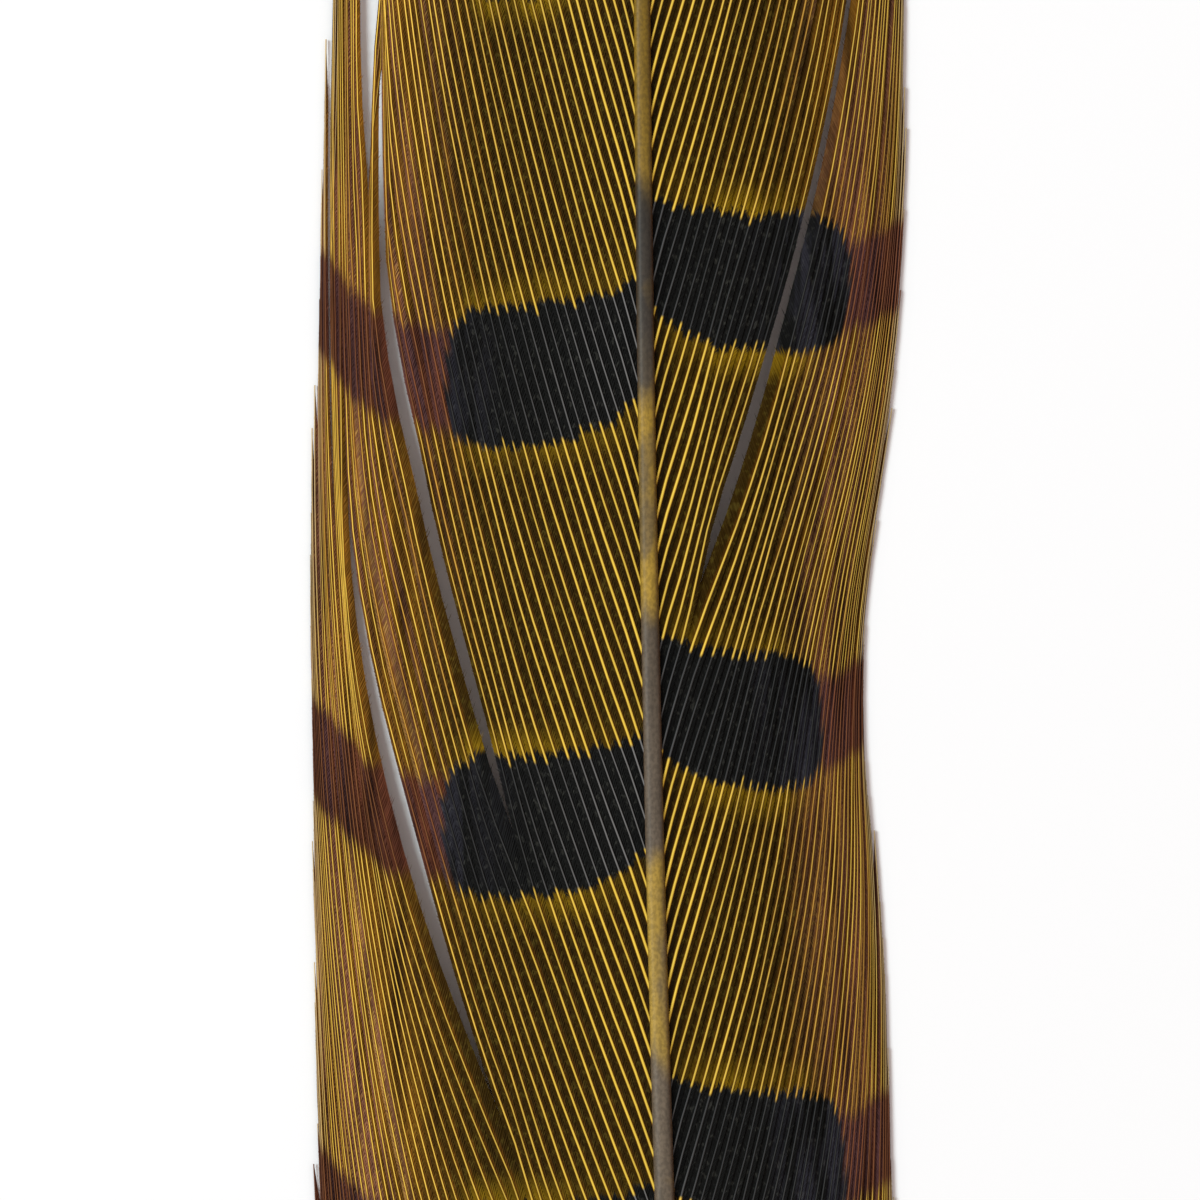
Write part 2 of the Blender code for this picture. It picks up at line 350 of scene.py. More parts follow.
def clump_shift(side, root, across):
    """Barb tips gather in clumps, each of which ends in a spike and starts a little further in."""
    tip = barb_y(side, root, 1.0)
    after = np.clip(np.searchsorted(spikes[side], tip), 1, len(spikes[side]) - 1)
    low, high = spikes[side][after - 1], spikes[side][after]
    along_clump = np.clip((tip - low) / (high - low), 0, 1)
    height = SPIKE_HEIGHT[side] * np.minimum(1, half_width[side](tip) / 0.009)
    return height * (along_clump - 0.8) * smoothstep(across, 0.72, 1.0)


def wander_shift(root, across, chances):
    """Each barb wavers a little, in its own way."""
    slow = np.sin(2 * math.pi * (across * (0.8 + 1.4 * chances[:, 1:2]) + chances[:, 2:3]))
    quick = np.sin(2 * math.pi * (across * (3 + 4 * chances[:, 3:4]) + chances[:, 4:5]))
    return BARB_WANDER * (slow + 0.35 * quick) * smoothstep(across, 0.02, 0.3)


def vane_points(side, root, across, shift):
    """Points of the vane's middle surface, and how far they are from the shaft's middle."""
    y = barb_y(side, root, across)
    inner = 0.40 * shaft_width(y)
    margin = half_width[side](y) - MARGIN_INSET[side]
    leaving = 1 - ROOT_CURL * np.exp(-across / ROOT_CURL_REACH)
    leaning_in = 1 - smoothstep(root, TIP_FIRST_ROOT, WEB_LAST_ROOT)
    rest = inner + (margin - inner) * across * leaving * leaning_in
    aside = rest + shift
    share = np.clip((aside - inner) / (margin - inner), 0, 1)
    rise = 1 - share**WEB_CAMBER
    height = WEB_THICKNESS / 2 + (root_height(y) - WEB_THICKNESS / 2) * rise
    points = np.stack([bow(y) + side * aside, y, height], axis=-1)
    return points, rest, y


# ---------------------------------------------------------------- meshes


FACTS = ("along", "aside", "out", "barb", "reach", "spark")


def build_mesh(name, chunks, materials, smooth=False):
    """One mesh of chunks: (points, faces, facts, places on the map, material number)."""
    first = np.cumsum([0] + [len(chunk[0]) for chunk in chunks])
    points = np.concatenate([chunk[0] for chunk in chunks]) + QUILL_END
    corners = np.concatenate([(chunk[1] + start).ravel() for chunk, start in zip(chunks, first)])
    sizes = np.concatenate([np.full(len(chunk[1]), chunk[1].shape[1]) for chunk in chunks])
    numbers = np.concatenate([np.full(len(chunk[1]), chunk[4]) for chunk in chunks])
    mesh = bpy.data.meshes.new(name)
    mesh.vertices.add(len(points))
    mesh.vertices.foreach_set("co", points.astype(np.float32).ravel())
    mesh.loops.add(len(corners))
    mesh.loops.foreach_set("vertex_index", corners.astype(np.int32))
    mesh.polygons.add(len(sizes))
    starts = np.concatenate([[0], np.cumsum(sizes)[:-1]])
    mesh.polygons.foreach_set("loop_start", starts.astype(np.int32))
    mesh.polygons.foreach_set("material_index", numbers.astype(np.int32))
    mesh.update(calc_edges=True)
    if smooth:
        mesh.shade_smooth()
    facts = np.concatenate([chunk[2] for chunk in chunks])
    for column, fact in enumerate(FACTS):
        layer = mesh.attributes.new(fact, "FLOAT", "POINT")
        layer.data.foreach_set("value", facts[:, column].astype(np.float32))
    places = np.concatenate([chunk[3] for chunk in chunks])
    layer = mesh.uv_layers.new(name="OFBake")
    layer.uv.foreach_set("vector", places[corners].astype(np.float32).ravel())
    for material in materials:
        mesh.materials.append(material)
    made = bpy.data.objects.new(name, mesh)
    bpy.context.scene.collection.objects.link(made)
    return made


def ribbon_faces(barbs, stations, strands, closed):
    """Quads of one ribbon per barb, each of so many strands of points."""
    barb = np.arange(barbs)[:, None, None]
    station = np.arange(stations - 1)[None, :, None]
    strand = np.arange(strands if closed else strands - 1)[None, None, :]
    here = (barb * stations + station) * strands
    after = (strand + 1) % strands
    quads = [here + strand, here + after, here + strands + after, here + strands + strand]
    return np.stack(np.broadcast_arrays(*quads), axis=-1).reshape(-1, 4)


def ribbon(points, facts, places, number, closed=False):
    """A chunk of one ribbon per barb, of points laid out as (barb, station, strand)."""
    barbs, stations, strands = points.shape[:3]
    faces = ribbon_faces(barbs, stations, strands, closed)
    flat = (points.reshape(-1, 3), faces, facts.reshape(-1, len(FACTS)), places.reshape(-1, 2))
    return (*flat, number)


def facts_of(barb_facts, reach, spark):
    """Facts of points laid out as (barb, station, strand), from those of (barb, station)."""
    shape = np.broadcast(barb_facts[..., :1], reach, spark).shape
    parts = [np.broadcast_to(barb_facts[..., None, k], shape) for k in range(4)]
    return np.stack([*parts, np.broadcast_to(reach, shape), np.broadcast_to(spark, shape)], axis=-1)


def map_places(barbs, stations, bands):
    """A row of the bake's map for each barb, with strands at these heights in the row."""
    row = (np.arange(barbs)[:, None, None] + np.asarray(bands)[None, None, :]) / barbs
    along = np.linspace(0, 1, stations)[None, :, None]
    return np.stack(np.broadcast_arrays(along, row), axis=-1)


class Barbs:
    """The barbs of one side: where they run, which way is across them and how far apart they are."""

    def __init__(self, side):
        count = round((WEB_LAST_ROOT - WEB_FIRST_ROOT) / BARB_PITCH)
        self.root = np.linspace(WEB_FIRST_ROOT, WEB_LAST_ROOT, count)[:, None]
        self.chances = rng.random((count, 6))
        travelled = np.linspace(0, BARB_REACH * outward[-1], BARB_STATIONS)
        self.out = np.interp(travelled, outward, SHARES)[None, :]
        shift = split_shift(side, self.root, self.out) + clump_shift(side, self.root, self.out)
        shift = shift + wander_shift(self.root, self.out, self.chances)
        self.points, aside, y = vane_points(side, self.root, self.out, shift)
        ahead = np.gradient(self.points, axis=1)
        self.ahead = ahead / np.linalg.norm(ahead, axis=-1, keepdims=True)
        inwards = np.stack([-side * self.ahead[..., 1], side * self.ahead[..., 0], 0 * y], axis=-1)
        self.inwards = inwards / np.linalg.norm(inwards, axis=-1, keepdims=True)
        widening = half_width[side](y) / half_width[side](self.root)
        self.apart = BARB_PITCH * root_slope[side](self.root) * bend(self.out) * widening
        self.apart = np.maximum(self.apart, LEAST_APART)
        to_next = (np.diff(self.points, axis=0) * self.inwards[:-1]).sum(axis=-1)
        self.room = np.concatenate([to_next, self.apart[-1:]])
        after = np.searchsorted(self.root[:, 0], [place for place, *_ in SPLITS[side]])
        self.loose = np.zeros((count, 2), dtype=bool)
        self.loose[after - 1, 0] = True
        self.loose[after, 1] = True
        facts = [y, aside, self.out, self.chances[:, :1]]
        self.facts = np.stack(np.broadcast_arrays(*facts), axis=-1)

    def between(self, low, high):
        """The barbs whose roots lie between these."""
        chosen = (self.root[:, 0] >= low) & (self.root[:, 0] < high)
        part = copy.copy(self)
        for name, values in vars(self).items():
            if len(values) == len(chosen):
                setattr(part, name, values[chosen])
        return part

    def offset(self, inwards, ahead, up):
        """The barbs' points moved by three distances for each (barb, station, strand)."""
        parts = np.broadcast_arrays(inwards, ahead, up)
        moved = self.points[:, :, None, :] + self.inwards[:, :, None, :] * parts[0][..., None]
        moved = moved + self.ahead[:, :, None, :] * parts[1][..., None]
        return moved + UP * parts[2][..., None]

    def shafts(self):
        """A four-sided tapering shaft for each barb."""
        taper = (1 - self.out) ** 1.4
        width = BARB_WIDTH_AT_MARGIN + (BARB_WIDTH_AT_SHAFT - BARB_WIDTH_AT_MARGIN) * taper
        width = np.minimum(width * (0.85 + 0.3 * self.chances[:, 5:6]), BARB_SHARE_OF_ROOM * self.room)
        width = np.maximum(width, BARB_THINNEST)
        sideways = np.array([-0.5, 0.0, 0.5, 0.0]) * width[..., None]
        up = np.array([0.0, 0.45, 0.0, -0.55]) * BARB_DEPTH * np.ones_like(sideways)
        reach = np.array([-1.0, 0.0, 1.0, 0.0])
        facts = facts_of(self.facts, reach, self.chances[:, 5][:, None, None])
        places = map_places(*self.apart.shape, SHAFT_BANDS)
        return ribbon(self.offset(sideways, 0, up), facts, places, 0, closed=True)

    def vanule_widths(self):
        """How far the barbules reach on the inner side of each barb and on its outer side."""
        fading = np.clip((self.facts[:, -1:, 0] - self.facts[:, :, 0]) / TIP_LENGTH, 0.02, 1)
        most = np.where(self.loose[:, :1], MAT_WIDEST * self.apart, MAT_LIMIT)
        inner = np.maximum(np.minimum(MAT_OVERLAP * self.room, most), 0.3 * self.apart)
        return inner * fading, OUTER_MAT_SHARE * self.apart * fading

    def mats(self):
        """The closed web of hooked barbules that fills the room between two shafts."""
        inner_width, outer_width = self.vanule_widths()
        inner = np.array([0.0, 0.5, 1.0]) * inner_width[..., None]
        outer = np.array([0.0, -1.0]) * outer_width[..., None]
        spark = self.chances[:, 1][:, None, None]
        inner_up = np.array([-0.00002, -0.00007, -0.00010]) + 0 * inner
        outer_up = np.array([-0.00002, -0.00004]) + 0 * outer
        inner_facts = facts_of(self.facts, np.array([0.0, 0.5, 1.0]), spark)
        outer_facts = facts_of(self.facts, np.array([0.0, 1.0]), spark)
        inner_places = map_places(*self.apart.shape, INNER_BANDS)
        outer_places = map_places(*self.apart.shape, OUTER_BANDS)
        return [ribbon(self.offset(inner, 0, inner_up), inner_facts, inner_places, 1),
                ribbon(self.offset(outer, 0, outer_up), outer_facts, outer_places, 1)]

    def barbule_places(self):
        """Which barb each barbule is on, and how many stations along it."""
        lengths = np.linalg.norm(np.diff(self.points, axis=1), axis=-1).sum(axis=1)
        counts = np.maximum(2, (lengths / BARBULE_PITCH).astype(int))
        barb = np.repeat(np.arange(len(counts)), counts)
        number = np.arange(counts.sum()) - np.repeat(np.cumsum(counts) - counts, counts)
        share = (number + rng.random(len(number)) * 0.5) / counts[barb]
        station = share * LAST_BARBULE * (BARB_STATIONS - 1)
        return barb, np.clip(station, 0, BARB_STATIONS - 1.001)

    def barbule_map(self, barb, station, inwards):
        """Where the three corners of each barbule lie on the bake's map."""
        bands = INNER_BANDS if inwards else OUTER_BANDS
        row = (barb[:, None] + np.array([bands[0], bands[0], bands[-1]])) / len(self.root)
        along = (station / (BARB_STATIONS - 1))[:, None] + 0 * row
        return np.stack([along, row], axis=-1).reshape(-1, 2)

    def barbules(self, inwards):
        """Single barbules, one thin triangle each, laid over the web on one side of each shaft."""
        loose = self.loose[:, 0 if inwards else 1]
        barb, station = self.barbule_places()
        low = station.astype(int)
        part = (station - low)[:, None]

        def at(values):
            return values[barb, low] * (1 - part) + values[barb, low + 1] * part

        width = at(self.vanule_widths()[0 if inwards else 1][..., None])
        across, ahead, start = at(self.inwards), at(self.ahead), at(self.points)
        if not inwards:
            across = -across
        chance = rng.random((len(barb), 3))
        reach = 0.85 + 0.3 * chance[:, :1]
        reach = reach + loose[barb, None] * FRINGE_REACH * chance[:, 1:2] ** 2
        long = width * reach
        base = BARBULE_BASE * BARBULE_PITCH * (1 + chance[:, 1:2])
        near = start + BARBULE_START * across - ahead * base + UP * BARBULE_TWIST
        far = start + BARBULE_START * across + ahead * base - UP * BARBULE_DROP
        drop = HOOKED_DROP if inwards else 0.0
        tip = start + across * long + ahead * long * BARBULE_SLANT
        tip = tip - UP * (drop + BARBULE_DROP * chance[:, 2:3])
        points = np.stack([near, far, tip], axis=1).reshape(-1, 3)
        facts = np.repeat(at(self.facts)[:, None, :], 3, axis=1)
        facts[:, 2, 0] += (long * 1.1)[:, 0]
        reach = np.concatenate([0 * reach, 0 * reach, reach], axis=1)[..., None]
        spark = np.repeat(rng.random(len(barb))[:, None, None], 3, axis=1)
        facts = np.concatenate([facts, reach, spark], axis=-1).reshape(-1, len(FACTS))
        places = self.barbule_map(barb, station, inwards)
        return points, np.arange(len(points)).reshape(-1, 3), facts, places, 1


def build_web(node, barbs, materials):
    """The barbs that stand for one CAD web."""
    chunks = [barbs.shafts(), *barbs.mats(), barbs.barbules(True), barbs.barbules(False)]
    web = build_mesh(f"barbs_{node}", chunks, materials)
    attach(web, "root")
    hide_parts(node)
    return web


def build_vane(side, side_name, splits, names):
    """All the barbs of one side, divided into webs where the vane has split."""
    materials = [barb_material(side, side_name), barbule_material(side, side_name)]
    barbs = Barbs(side)
    edges = [0.0, *splits, LENGTH]
    for name, low, high in zip(names, edges[:-1], edges[1:]):
        build_web(f"web_{side_name}_{name}", barbs.between(low, high), materials)


def shaft_rings(y):
    """Rings round the shaft, round at the quill and squarer along the grooved rachis."""
    turn = np.arange(SHAFT_SIDES) * 2 * math.pi / SHAFT_SIDES
    changed = np.clip((y - QUILL_LENGTH) / 0.03, 0, 1)[:, None]
    power = 2 / (2 + changed)
    x = shaft_width(y)[:, None] / 2 * np.sign(np.cos(turn)) * np.abs(np.cos(turn)) ** power
    z = shaft_depth(y)[:, None] / 2 * np.sign(np.sin(turn)) * np.abs(np.sin(turn)) ** power
    groove = np.maximum(0, 1 - np.abs(turn - 1.5 * math.pi) / 0.5)
    z = z + GROOVE_SHARE * changed * shaft_depth(y)[:, None] * groove
    middle = shaft_middle_height(y)[:, None]
    return np.stack([bow(y)[:, None] + x, y[:, None] + 0 * x, middle + z], axis=-1)


def shaft_chunk(points, faces, aside):
    """A chunk of the shaft. aside is -1 at its left edge and 1 at its right edge."""
    facts = np.zeros((len(points), len(FACTS)))
    facts[:, 0] = points[:, 1]
    facts[:, 1] = aside
    places = np.stack([points[:, 1] / LENGTH, 0.5 + 0.4 * aside], axis=-1)
    return points, faces, facts, places, 0


def build_shaft():
    """The quill and the rachis, with a small pit in the quill's end."""
    quill = np.concatenate([[0.0, 0.0008], np.arange(0.002, QUILL_LENGTH, SHAFT_STEP)])
    rachis = np.arange(QUILL_LENGTH + 0.001, RACHIS_END, SHAFT_STEP)
    y = np.concatenate([quill, rachis, [RACHIS_END]])
    rings = shaft_rings(y)
    mouth = rings[0].mean(axis=0)
    inner = mouth + (rings[0] - mouth) * 0.5
    floor = mouth + (rings[0] - mouth) * 0.4 + np.array([0, QUILL_PIT_DEPTH, 0])
    rings = np.concatenate([floor[None], inner[None], rings])
    sideways = np.tile(np.cos(np.arange(SHAFT_SIDES) * 2 * math.pi / SHAFT_SIDES), len(rings))
    tube = shaft_chunk(rings.reshape(-1, 3), ribbon_faces(1, len(rings), SHAFT_SIDES, True), sideways)
    around = np.arange(SHAFT_SIDES)
    after = (around + 1) % SHAFT_SIDES
    caps = []
    for ring, pair in ((rings[0], (after, around)), (rings[-1], (around, after))):
        points = np.concatenate([ring, ring.mean(axis=0, keepdims=True)])
        faces = np.stack([*pair, np.full(SHAFT_SIDES, SHAFT_SIDES)], axis=-1)
        caps.append(shaft_chunk(points, faces, np.zeros(SHAFT_SIDES + 1)))
    shaft = build_mesh("rachis", [tube, *caps], [rachis_material()], smooth=True)
    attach(shaft, "root")
    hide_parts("shaft")
    return shaft


# ---------------------------------------------------------------- down


def down_barb(side, root, chance):
    """The middle line of one loose barb of down: out from the shaft, then drooping."""
    share = np.linspace(0, 1, DOWN_STATIONS)
    length = DOWN_LENGTH * (0.6 + 0.4 * chance[0])
    angle = math.radians(20 + 30 * chance[1]) + math.radians(36) * (chance[2] - 0.40) * share
    step = length / (DOWN_STATIONS - 1)
    x = 0.4 * shaft_width(root) + np.cumsum(np.sin(angle)) * step
    y = root + np.cumsum(np.cos(angle)) * step
    start = root_height(root)
    rise = 0.0009 * chance[3] * np.sin(math.pi * share)
    z = start * (1 - share) ** 1.3 + 0.0003 + rise + 0.0012 * chance[4] * share * (1 - share)
    return np.stack([bow(y) + side * x, y, z], axis=-1)


def down_stem(line, across):
    """A three-sided tapering stem along the middle line of one barb of down."""
    thick = DOWN_BARB_WIDTH * (1 - 0.8 * np.linspace(0, 1, DOWN_STATIONS)[:, None])
    sides = [line - across * thick / 2, line + UP * thick / 2, line + across * thick / 2]
    quads = ribbon_faces(1, DOWN_STATIONS, 3, True)
    faces = np.concatenate([quads[:, [0, 1, 2]], quads[:, [0, 2, 3]]])
    return np.stack(sides, axis=1).reshape(-1, 3), faces


def down_barbules(line, ahead, across):
    """Long soft barbules on both sides of the line, of five points each, and four chances each."""
    sense = np.where(np.arange(DOWN_BARBULES) % 2, 1.0, -1.0)[:, None]
    station = np.linspace(0.6, DOWN_STATIONS - 1.001, DOWN_BARBULES)
    low = station.astype(int)
    part = (station - low)[:, None]
    start = line[low] * (1 - part) + line[low + 1] * part
    forward_way, side_way = ahead[low], across[low] * sense
    chances = rng.random((DOWN_BARBULES, 4))
    shorter = 1.1 - 0.6 * station[:, None] / DOWN_STATIONS
    long = DOWN_BARBULE_LENGTH * (0.5 + 0.7 * chances[:, :1]) * shorter
    bend_up = UP * long * (chances[:, 1:2] - 0.55) * 0.5
    middle = start + side_way * long * 0.5 + forward_way * long * 0.25 + bend_up
    curl = 0.3 + 0.9 * chances[:, 2:3]
    tip = start + side_way * long * 0.85 + forward_way * long * curl + bend_up * 1.2
    half = forward_way * DOWN_BARBULE_WIDTH / 2
    return np.stack([start - half, start + half, middle - half, middle + half, tip], axis=1), chances


def down_chunk(side, root, chance):
    """One barb of down with its barbules."""
    line = down_barb(side, root, chance)
    ahead = np.gradient(line, axis=0)
    ahead = ahead / np.linalg.norm(ahead, axis=-1, keepdims=True)
    across = np.stack([ahead[:, 1], -ahead[:, 0], 0 * ahead[:, 0]], axis=-1)
    stem, stem_faces = down_stem(line, across)
    barbules, chances = down_barbules(line, ahead, across)
    base = np.arange(DOWN_BARBULES)[:, None] * 5 + len(stem)
    faces = [base + np.array([corners]) for corners in ((0, 1, 3), (0, 3, 2), (2, 3, 4))]
    points = np.concatenate([stem, barbules.reshape(-1, 3)])
    points[:, 2] = np.clip(points[:, 2], DOWN_LOWEST, DOWN_HIGHEST)
    facts = np.zeros((len(points), len(FACTS)))
    facts[:, 0] = points[:, 1]
    facts[:, 3] = chance[5]
    facts[len(stem):, 4] = np.tile([0.1, 0.1, 0.5, 0.5, 1.0], DOWN_BARBULES)
    facts[len(stem):, 5] = np.repeat(chances[:, 3], 5)
    places = np.stack([facts[:, 4], 0.02 + 0.96 * facts[:, 3]], axis=-1)
    return points, np.concatenate([stem_faces, *faces]), facts, places, 0


def build_down(side, side_name, material):
    """The tuft of down on one side."""
    chunks = []
    for number in range(DOWN_BARBS):
        root = DOWN_FIRST_ROOT + (DOWN_LAST_ROOT - DOWN_FIRST_ROOT) * (number + 0.5) / DOWN_BARBS
        chunks.append(down_chunk(side, root, rng.random(6)))
    tuft = build_mesh(f"tuft_{side_name}", chunks, [material])
    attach(tuft, "root")
    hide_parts(f"down_{side_name}")
    return tuft


# ---------------------------------------------------------------- materials


class Value:
    """A number inside a material, so that sums of its nodes read as sums."""

    def __init__(self, tree, source):
        self.tree = tree
        self.source = source

    def math(self, operation, *others):
        """The result of a math node for this value and others."""
        node = self.tree.nodes.new("ShaderNodeMath")
        node.operation = operation
        for socket, value in zip(node.inputs, (self, *others)):
            connect(self.tree, value, socket)
        return Value(self.tree, node.outputs[0])

    def __add__(self, other):
        return self.math("ADD", other)

    def __radd__(self, other):
        return self.math("ADD", other)

    def __sub__(self, other):
        return self.math("SUBTRACT", other)

    def __rsub__(self, other):
        return (self * -1) + other

    def __mul__(self, other):
        return self.math("MULTIPLY", other)

    def __rmul__(self, other):
        return self.math("MULTIPLY", other)

    def __truediv__(self, other):
        return self.math("DIVIDE", other)

    def __pow__(self, other):
        return self.math("POWER", other)

    def __abs__(self):
        return self.math("ABSOLUTE")

    def round(self):
        return self.math("ROUND")

    def falling(self, length):
        """1 at zero, and less by a factor of e for each such length."""
        return (self * (-1 / length)).math("EXPONENT")

    def step(self, low, high):
        """0 below low, 1 above high and smooth between them. low may be above high."""
        node = self.tree.nodes.new("ShaderNodeMapRange")
        node.interpolation_type = "SMOOTHSTEP"
        node.clamp = True
        connect(self.tree, self, node.inputs["Value"])
        if low < high:
            node.inputs["From Min"].default_value = low
            node.inputs["From Max"].default_value = high
            return Value(self.tree, node.outputs["Result"])
        node.inputs["From Min"].default_value = high
        node.inputs["From Max"].default_value = low
        return 1 - Value(self.tree, node.outputs["Result"])


def connect(tree, value, socket):
    """Puts a Value, a number or a colour into a socket."""
    if isinstance(value, Value):
        tree.links.new(value.source, socket)
    else:
        socket.default_value = value


class Paint:
    """Makes a material whose colour is worked out from the facts of its mesh."""

    def __init__(self, name, roughness, shine=0.5):
        self.material = bpy.data.materials.new(name)
        self.material.use_nodes = True
        self.tree = self.material.node_tree
        self.shader = self.tree.nodes["Principled BSDF"]
        self.shader.inputs["Roughness"].default_value = roughness
        self.shader.inputs["Specular IOR Level"].default_value = shine

    def fact(self, name):
        """One of the mesh's FACTS at the point that is being coloured."""
        node = self.tree.nodes.new("ShaderNodeAttribute")
        node.attribute_type = "GEOMETRY"
        node.attribute_name = name
        return Value(self.tree, node.outputs["Fac"])

    def noise(self, scale, stretch=(1, 1, 1), detail=3.0):
        """Noise of about 0 to 1, with its middle at 0.5, over the place on the feather."""
        place = self.tree.nodes.new("ShaderNodeTexCoord")
        mapping = self.tree.nodes.new("ShaderNodeMapping")
        mapping.inputs["Scale"].default_value = stretch
        node = self.tree.nodes.new("ShaderNodeTexNoise")
        node.inputs["Scale"].default_value = scale
        node.inputs["Detail"].default_value = detail
        self.tree.links.new(place.outputs["Object"], mapping.inputs["Vector"])
        self.tree.links.new(mapping.outputs["Vector"], node.inputs["Vector"])
        return Value(self.tree, node.outputs["Fac"])

    def mix(self, share, first, second):
        """The first colour where share is 0 and the second where it is 1."""
        node = self.tree.nodes.new("ShaderNodeMix")
        node.data_type = "RGBA"
        connect(self.tree, share, node.inputs[0])
        connect(self.tree, first, node.inputs[6])
        connect(self.tree, second, node.inputs[7])
        return Value(self.tree, node.outputs[2])

    def scaled(self, colour, factor):
        """A colour made lighter or darker."""
        node = self.tree.nodes.new("ShaderNodeVectorMath")
        node.operation = "SCALE"
        connect(self.tree, colour, node.inputs[0])
        connect(self.tree, factor, node.inputs["Scale"])
        return Value(self.tree, node.outputs[0])

    def ramp(self, value, stops):
        """A colour read off (place, colour) stops."""
        node = self.tree.nodes.new("ShaderNodeValToRGB")
        connect(self.tree, value, node.inputs["Fac"])
        elements = node.color_ramp.elements
        elements[0].position, elements[0].color = stops[0]
        elements[1].position, elements[1].color = stops[-1]
        for place, colour in stops[1:-1]:
            elements.new(place).color = colour
        return Value(self.tree, node.outputs["Color"])

    def finish(self, colour):
        """The finished material, with this colour."""
        connect(self.tree, colour, self.shader.inputs["Base Color"])
        return self.material


def bar_distance(side, along, aside):
    """How far a point is from the middle line of its nearest bar."""
    middle = BAR_PLACE[side] - (1 - aside.falling(0.0021)) * BAR_SWEEP[side]
    bars = (along - middle) / BAR_PERIOD[side]
    return (bars - bars.round()) * BAR_PERIOD[side]


def black_share(side, distance, aside, out, shrink):
    """1 inside a black bar, 0 outside it. Its outer end is rounded."""
    half = BAR_HALF[side] * (1 + 0.22 * (1 - aside.falling(0.003))) - shrink
    inside = (abs(distance) / half) ** 3 + (out / BAR_END[side]) ** 11
    return inside.step(1.16, 0.88)


def chestnut_share(side, distance, out, soft):
    """1 inside the chestnut end of a bar, which bends towards the tip near the margin."""
    beyond = (out - BAR_END[side]) / (1 - BAR_END[side])
    lifted = distance - beyond * abs(beyond) * CHESTNUT_LIFT[side]
    near = (abs(lifted) - CHESTNUT_HALF[side]).step(soft, -soft)
    return near * out.step(BAR_END[side] - 0.10, BAR_END[side] + 0.03)


def paler_outwards(paint, side, colour, out):
    """A colour as it pales towards the margin."""
    return paint.scaled(colour, 1 + out.step(0.35, 0.8) * OUTER_LIGHT[side])


def barb_material(side, side_name):
    """Golden barb shafts, grey in the black bars and brown in the chestnut ones. Painted shade darkens
    each shaft's side edges, and the grey in the black bars is a painted highlight along its middle.
    """
    paint = Paint(f"barb_shafts_{side_name}", 0.5, 0.2)
    along, aside, out = paint.fact("along"), paint.fact("aside"), paint.fact("out")
    barb, reach, spark = paint.fact("barb"), paint.fact("reach"), paint.fact("spark")
    ragged = (barb - 0.5) * BORDER_RAGGED + (spark - 0.5) * BORDER_RAGGED
    distance = bar_distance(side, along + ragged, aside)
    # Painted shade: each shaft's two side edges are darker than its middle line, in the gold and in
    # the chestnut.
    edge = abs(reach).step(0.30, 0.85)
    patches = paint.noise(90, (1, 0.35, 1))
    worn = (patches + barb * 0.3).step(0.62, 0.80) * out.step(0.35, 0.7) * 0.7
    gold = paint.mix(out.step(0.1, 0.6), GOLD, GOLD_OUTER)
    gold = paint.mix(worn, gold, ORANGE)
    gold = paint.mix(edge, gold, SHADED_GOLD_EDGE)
    gold = paint.mix(out.step(0.96, 1.0), gold, PALE_TIP)
    gold = paler_outwards(paint, side, gold, out)
    chestnut = chestnut_share(side, distance, out, 0.0005)
    colour = paint.mix(chestnut * 0.94, gold, paint.mix(edge, CHESTNUT_BARB, CHESTNUT))
    # Painted highlight: in a black bar a grey line runs along each shaft's middle, paler near the
    # rachis, and the shaft's edges stay black.
    grey = paint.mix(aside.step(0.0, BAR_HIGHLIGHT_REACH[side]), GREY_BARB_HIGHLIGHT[side], DIM_BARB_HIGHLIGHT)
    grey = paint.mix(abs(reach).step(0.18, 0.5), grey, BLACK)
    colour = paint.mix(black_share(side, distance, aside, out, 0.00035), colour, grey)
    grain = paint.noise(1500, (1, 0.2, 1), 2.0)
    return paint.finish(paint.scaled(colour, 0.62 + spark * 0.22 + grain * 0.4))


